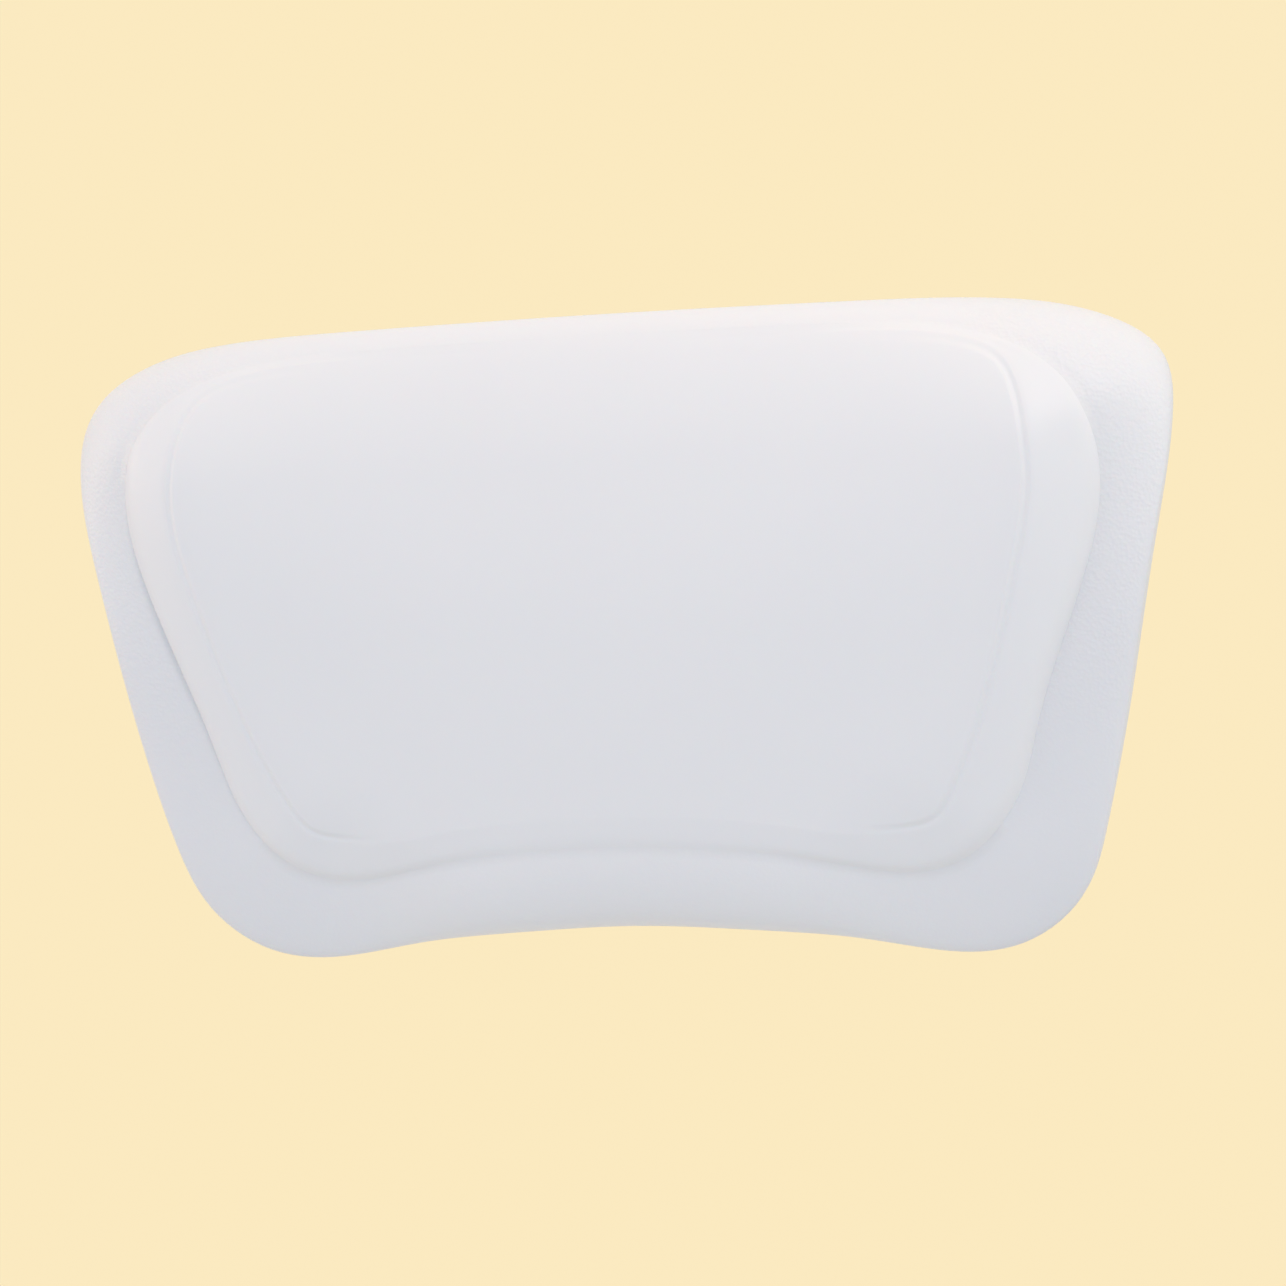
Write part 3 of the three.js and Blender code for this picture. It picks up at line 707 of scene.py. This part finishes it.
def cup_material():
    """Clear soft PVC with the faint ripple and the blue cast of moulded suction cups."""
    material, tree, shader = new_material("clear_soft_pvc")
    where = object_space(tree)
    ripple = add_node(tree, "ShaderNodeTexNoise")
    ripple.inputs["Scale"].default_value = 120
    ripple.inputs["Detail"].default_value = 2
    tree.links.new(where, ripple.inputs["Vector"])
    bump = add_node(tree, "ShaderNodeBump")
    bump.inputs["Strength"].default_value = 0.15
    bump.inputs["Distance"].default_value = 0.0002
    tree.links.new(ripple.outputs["Fac"], bump.inputs["Height"])
    tree.links.new(bump.outputs["Normal"], shader.inputs["Normal"])
    gloss = add_node(tree, "ShaderNodeMapRange")
    gloss.inputs["To Min"].default_value = 0.08
    gloss.inputs["To Max"].default_value = 0.2
    tree.links.new(ripple.outputs["Fac"], gloss.inputs["Value"])
    tree.links.new(gloss.outputs["Result"], shader.inputs["Roughness"])
    shader.inputs["Base Color"].default_value = (0.86, 0.93, 0.95, 1)
    shader.inputs["Transmission Weight"].default_value = 0.8
    shader.inputs["IOR"].default_value = 1.5
    return material


skin_white = skin_material()
panel_white = moulded_material(
    "white_back_skin", (0.76, 0.77, 0.79), (0.8, 0.81, 0.83), 0.6, 700, 0.25, 0.0002
)
foam_cream = moulded_material("cream_foam", (0.8, 0.74, 0.56), (0.88, 0.83, 0.66), 0.92, 500, 0.8, 0.0008)
plate_natural = moulded_material(
    "natural_polypropylene", (0.78, 0.78, 0.74), (0.84, 0.84, 0.8), 0.45, 400, 0.15, 0.0002
)
socket_white = moulded_material(
    "white_socket_plastic", (0.78, 0.79, 0.81), (0.83, 0.84, 0.86), 0.38, 600, 0.15, 0.0001
)
cup_clear = cup_material()


# The pieces

def make_skin():
    """The moulded face: flange, rounded edge, grained rim, lip, groove and dish, with its own wall."""
    edge = back_edge_rings()
    shoulder = shoulder_rings()
    lip = lip_rings()
    channel = groove_rings()
    dish = dish_rings(channel[-1])
    rings = edge + shoulder + lip + channel + dish
    points = [to_frame(ring) for ring in rings]
    total = len(rings)
    pole = to_frame(pad_centre[None])
    faces = ring_faces(total, AROUND)
    last = (total - 1) * AROUND
    tip = total * AROUND
    faces += [(last + i, tip, last + (i + 1) % AROUND) for i in range(AROUND)]
    piece = new_piece("pillow_skin", np.concatenate([*points, pole]), faces, skin_white)
    grain = np.zeros(tip + 1)
    rim = np.concatenate(edge + shoulder)
    sides = smooth_step(np.abs(rim[:, 0]), *GRAIN_ACROSS) * smooth_step(rim[:, 2], *GRAIN_HEIGHTS)
    grain[: len(rim)] = GRAIN_LOW_SHARE + (1 - GRAIN_LOW_SHARE) * sides
    # Painted shade on the rim's low sides, kept as a point attribute
    painted_shade = np.zeros(tip + 1)
    low_sides = smooth_step(np.abs(rim[:, 0]), *PAINTED_SHADE_ACROSS) * smooth_step(rim[:, 2], *PAINTED_SHADE_HEIGHTS)
    painted_shade[: len(rim)] = low_sides
    for name, values in (("grain", grain), ("painted_shade", painted_shade)):
        piece.data.attributes.new(name, "FLOAT", "POINT").data.foreach_set("value", values)
    modified(piece, "SOLIDIFY", thickness=SKIN_WALL, offset=-1)
    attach(piece, "pillow")
    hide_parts("face_skin")


def make_foam():
    """The foam in its frame solid's form, with its front kept behind the moulded skin."""
    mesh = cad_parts["foam_core"].data.copy()
    mesh.name = "foam_filling"
    mesh.materials.clear()
    mesh.materials.append(foam_cream)
    corners = np.array([tuple(vertex.co) for vertex in mesh.vertices])
    places = np.column_stack([corners[:, 0], -corners[:, 1], corners[:, 2] - BOTTOM])
    room = face_depth(places) - SKIN_WALL - FOAM_GAP
    depth = np.minimum(places[:, 1], np.maximum(room, BACK_DEPTH + SKIN_WALL))
    for vertex, forward in zip(mesh.vertices, depth):
        vertex.co.y = -forward
    piece = bpy.data.objects.new("foam_filling", mesh)
    bpy.context.scene.collection.objects.link(piece)
    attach(piece, "pillow")
    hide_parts("foam_core")


def circle(centre, radius, depth):
    """A ring of points of (across, depth, height) about a socket's centre in the frame."""
    angles = np.linspace(0, 2 * math.pi, PAN_STEPS, endpoint=False)
    x = centre.x + radius * np.sin(angles)
    z = centre.z - BOTTOM + radius * np.cos(angles)
    return np.column_stack([x, np.full(PAN_STEPS, depth), z])


def pan_rings(centre):
    """From the panel's flat face over the pan's lip, down its wall and along its floor to the hole."""
    rings = [circle(centre, PAN_RADIUS + PAN_LIP + FLAT_MARGIN, BACK_DEPTH)]
    for angle in np.linspace(0, math.pi / 2, PAN_ROUND_STEPS):
        radius = PAN_RADIUS + PAN_LIP * (1 - math.sin(angle))
        rings.append(circle(centre, radius, BACK_DEPTH + PAN_LIP * (1 - math.cos(angle))))
    for angle in np.linspace(0, math.pi / 2, PAN_ROUND_STEPS):
        radius = PAN_RADIUS - PAN_FILLET * (1 - math.cos(angle))
        rings.append(circle(centre, radius, PAN_FLOOR - PAN_FILLET * (1 - math.sin(angle))))
    rings.append(circle(centre, PAN_RADIUS - PAN_FILLET - FLAT_MARGIN, PAN_FLOOR))
    rings.append(circle(centre, PAN_HOLE + FLAT_MARGIN, PAN_FLOOR))
    rings.append(circle(centre, PAN_HOLE, PAN_FLOOR))
    return rings


def flat_faces(points, loops):
    """Triangles between the first loop and the others, which are holes in it."""
    flat = [i for loop in loops for i in loop]
    owner = [number for number, loop in enumerate(loops) for _ in loop]
    edges = []
    for loop in loops:
        start = len(edges)
        edges += [(start + i, start + (i + 1) % len(loop)) for i in range(len(loop))]
    coords = [Vector((points[i][0], points[i][2])) for i in flat]
    _, _, triangles, sources, _, _ = delaunay_2d_cdt(coords, edges, [], 1, FLAT_TOLERANCE)
    faces = []
    for triangle in triangles:
        inputs = [sources[i][0] for i in triangle]
        owners = {owner[i] for i in inputs}
        if len(owners) > 1 or owners == {0}:
            faces.append(tuple(flat[i] for i in inputs))
    return faces


def make_back():
    """The back panel: a flat skin with a rounded border and four round pans for the suction cups."""
    seam = EDGE_RADIUS + FLANGE_WIDTH + SEAM_GAP
    border = []
    for angle in np.linspace(0, math.pi / 2, CORNER_STEPS):
        ring = inset(outline, seam + PANEL_ROUND * (1 - math.cos(angle)))
        border.append(at_depth(ring, BACK_DEPTH + PANEL_ROUND * (1 - math.sin(angle))))
    border.append(at_depth(inset(outline, seam + PANEL_ROUND + FLAT_MARGIN), BACK_DEPTH))
    points = np.concatenate(border)
    faces = ring_faces(len(border), AROUND)
    loops = [range(len(points) - AROUND, len(points))]
    for corner in CUP_CORNERS:
        rings = pan_rings(socket_centre(corner))
        first = len(points)
        points = np.concatenate([points, *rings])
        faces += [tuple(first + i for i in face) for face in ring_faces(len(rings), PAN_STEPS)]
        loops.append(range(first, first + PAN_STEPS))
    faces += flat_faces(points, loops)
    piece = new_piece("pillow_back", to_frame(points), faces, panel_white)
    tidied(piece)
    modified(piece, "SOLIDIFY", thickness=SKIN_WALL, offset=back_side(piece))
    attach(piece, "pillow")
    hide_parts("back_skin")


def back_side(piece):
    """Which way a sheet's wall grows forward, away from the bath's wall: with its faces or against them."""
    largest = max(piece.data.polygons, key=lambda face: face.area)
    return 1 if largest.normal.y < 0 else -1


def socket_centre(corner):
    low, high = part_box(f"socket_{corner}")
    return (low + high) / 2


def make_socket(corner):
    points, faces = lathe(rounded(SOCKET_OUTLINE), socket_centre(corner))
    piece = tidied(new_piece(f"snap_socket_{corner}", points, faces, socket_white))
    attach(piece, "pillow")
    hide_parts(f"socket_{corner}")


def cup_profile():
    """From the middle of the hollow out to the rim, over the bell and up the neck to the head's tip."""
    reach = CUP_RADIUS - CUP_LAND
    hollow = []
    for angle in np.linspace(0, math.pi / 2, HOLLOW_STEPS):
        hollow.append((reach * math.sin(angle), CUP_HOLLOW * math.cos(angle)))
    outside = rounded([(reach / MM, 0, 0), *CUP_OUTSIDE, (0, CUP_OUTSIDE[-1][1], 0)])
    return hollow + outside[CORNER_STEPS:-CORNER_STEPS] + [(0, CUP_OUTSIDE[-1][1] * MM)]


def make_tab(centre):
    """The pull tab, with a rounded end and softened rims."""
    straight = TAB_END - TAB_HALF
    shape = bmesh.new()
    border = [(-TAB_HALF, CUP_LAND - CUP_RADIUS)]
    for angle in np.linspace(math.pi, 2 * math.pi, TAB_STEPS):
        border.append((TAB_HALF * math.cos(angle), TAB_HALF * math.sin(angle) - straight))
    border.append((TAB_HALF, CUP_LAND - CUP_RADIUS))
    place = [(centre.x + x, centre.z + z) for x, z in border]
    near = [shape.verts.new((x, -TAB_LIFT, z)) for x, z in place]
    sheet = shape.faces.new(near)
    grown = bmesh.ops.extrude_face_region(shape, geom=[sheet])["geom"]
    for vertex in grown:
        if isinstance(vertex, bmesh.types.BMVert):
            vertex.co.y = -(TAB_LIFT + TAB_WALL)
    bmesh.ops.recalc_face_normals(shape, faces=shape.faces)
    rims = [edge for edge in shape.edges if edge.calc_face_angle(0) > TAB_RIM_ANGLE]
    bmesh.ops.bevel(shape, geom=rims, offset=TAB_ROUND, segments=TAB_ROUND_STEPS, affect="EDGES")
    mesh = bpy.data.meshes.new("tab")
    shape.to_mesh(mesh)
    shape.free()
    tab = bpy.data.objects.new("tab", mesh)
    bpy.context.scene.collection.objects.link(tab)
    return tab


def make_rib(centre):
    """The rib across the tab's end, with rounded ends."""
    reach = TAB_HALF - TAB_WALL / 2
    rings = []
    for angle in np.linspace(-math.pi / 2, math.pi / 2, TAB_RIB_RINGS):
        side = math.copysign(reach - TAB_RIB_RADIUS, angle) + TAB_RIB_RADIUS * math.sin(angle)
        rings.append((side, TAB_RIB_RADIUS * math.cos(angle)))
    points = []
    for side, radius in rings:
        for turn in np.linspace(0, 2 * math.pi, TAB_STEPS, endpoint=False):
            depth = TAB_LIFT + TAB_WALL + radius * math.cos(turn)
            height = centre.z - (TAB_END - TAB_HALF) + radius * math.sin(turn)
            points.append((centre.x + side, -depth, height))
    return tidied(new_piece("rib", points, ring_faces(len(rings), TAB_STEPS), cup_clear))


def make_cup(corner):
    """A clear cup that turns in its socket, fused with its tab and the tab's rib."""
    centre = socket_centre(corner)
    points, faces = lathe(cup_profile(), centre, closed=False)
    piece = tidied(new_piece(f"clear_cup_{corner}", points, faces, cup_clear))
    for extra in (make_tab(centre), make_rib(centre)):
        modified(piece, "BOOLEAN", operation="UNION", object=extra, solver="EXACT")
        bpy.data.objects.remove(extra)
    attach(piece, f"cup_{corner}")
    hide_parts(f"suction_cup_{corner}")


make_skin()
make_foam()
make_back()
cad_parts["insert_plate"].material_slots[0].material = plate_natural
for corner in CUP_CORNERS:
    make_socket(corner)
    make_cup(corner)


# Floor, light and camera

def seen_directly(tree):
    """1 for what the camera sees, also in a gloss or through a clear piece, and 0 for what only lights."""
    path = add_node(tree, "ShaderNodeLightPath")
    most = path.outputs["Is Camera Ray"]
    for name in ("Is Glossy Ray", "Is Transmission Ray"):
        larger = add_node(tree, "ShaderNodeMath", operation="MAXIMUM")
        tree.links.new(most, larger.inputs[0])
        tree.links.new(path.outputs[name], larger.inputs[1])
        most = larger.outputs[0]
    return most


def pale_world():
    """Cream behind the object, and an even studio light from the rest of the sky."""
    world = bpy.data.worlds.new("studio")
    bpy.context.scene.world = world
    world.use_nodes = True
    tree = world.node_tree
    shader = tree.nodes["Background"]
    shader.inputs["Color"].default_value = WORLD_COLOR
    shader.inputs["Strength"].default_value = 1
    seen = add_node(tree, "ShaderNodeBackground", Color=BACKDROP_COLOR, Strength=1)
    mix = add_node(tree, "ShaderNodeMixShader")
    tree.links.new(seen_directly(tree), mix.inputs["Fac"])
    tree.links.new(shader.outputs["Background"], mix.inputs[1])
    tree.links.new(seen.outputs["Background"], mix.inputs[2])
    tree.links.new(mix.outputs["Shader"], tree.nodes["World Output"].inputs["Surface"])


def floor_material():
    """Plain pale paper that shows the backdrop's cream and throws a soft light back."""
    material, tree, shader = new_material("pale_floor")
    shader.inputs["Roughness"].default_value = 0.9
    shader.inputs["Base Color"].default_value = FLOOR_COLOR
    seen = add_node(tree, "ShaderNodeEmission", Color=BACKDROP_COLOR, Strength=1)
    mix = add_node(tree, "ShaderNodeMixShader")
    tree.links.new(seen_directly(tree), mix.inputs["Fac"])
    tree.links.new(shader.outputs["BSDF"], mix.inputs[1])
    tree.links.new(seen.outputs["Emission"], mix.inputs[2])
    tree.links.new(mix.outputs["Shader"], tree.nodes["Material Output"].inputs["Surface"])
    return material


def pale_floor():
    half = FLOOR_HALF
    corners = [(-half, -half), (half, -half), (half, half), (-half, half)]
    points = [(x, y, BOTTOM - FLOOR_DROP) for x, y in corners]
    new_piece("floor", points, [(0, 1, 2, 3)], floor_material(), smooth=False)


def studio_lamp(name, azimuth, elevation, distance, size, power, color):
    """A round softbox in metres and watts, aimed at the middle of the pillow."""
    data = bpy.data.lights.new(name, "AREA")
    data.shape = "DISK"
    data.size = size
    data.energy = power
    data.color = color
    around = math.radians(azimuth)
    rise = math.radians(elevation)
    place = distance * Vector(
        (math.sin(around) * math.cos(rise), -math.cos(around) * math.cos(rise), math.sin(rise))
    )
    light = bpy.data.objects.new(name, data)
    light.location = place
    aim = Vector((0, -PARTING_DEPTH, 0)) - place
    light.rotation_euler = aim.to_track_quat("-Z", "Y").to_euler()
    bpy.context.scene.collection.objects.link(light)


def photo_camera():
    azimuth, elevation, roll = CAMERA_AZIMUTH, CAMERA_ELEVATION, CAMERA_ROLL
    back = Vector(
        (
            math.sin(azimuth) * math.cos(elevation),
            -math.cos(azimuth) * math.cos(elevation),
            math.sin(elevation),
        )
    )
    right = Vector((math.cos(azimuth), math.sin(azimuth), 0))
    up = back.cross(right)
    rolled_right = right * math.cos(roll) - up * math.sin(roll)
    rolled_up = right * math.sin(roll) + up * math.cos(roll)
    data = bpy.data.cameras.new("photo_camera")
    data.lens = LENS
    data.sensor_width = SENSOR
    data.sensor_fit = "HORIZONTAL"
    camera = bpy.data.objects.new("photo_camera", data)
    turn = Matrix((rolled_right, rolled_up, back)).transposed()
    camera.matrix_world = Matrix.Translation(CAMERA_TARGET + back * CAMERA_DISTANCE) @ turn.to_4x4()
    bpy.context.scene.collection.objects.link(camera)
    bpy.context.scene.camera = camera


pale_world()
pale_floor()
for lamp in LAMPS:
    studio_lamp(*lamp)
photo_camera()
bpy.context.scene.view_settings.view_transform = "Standard"
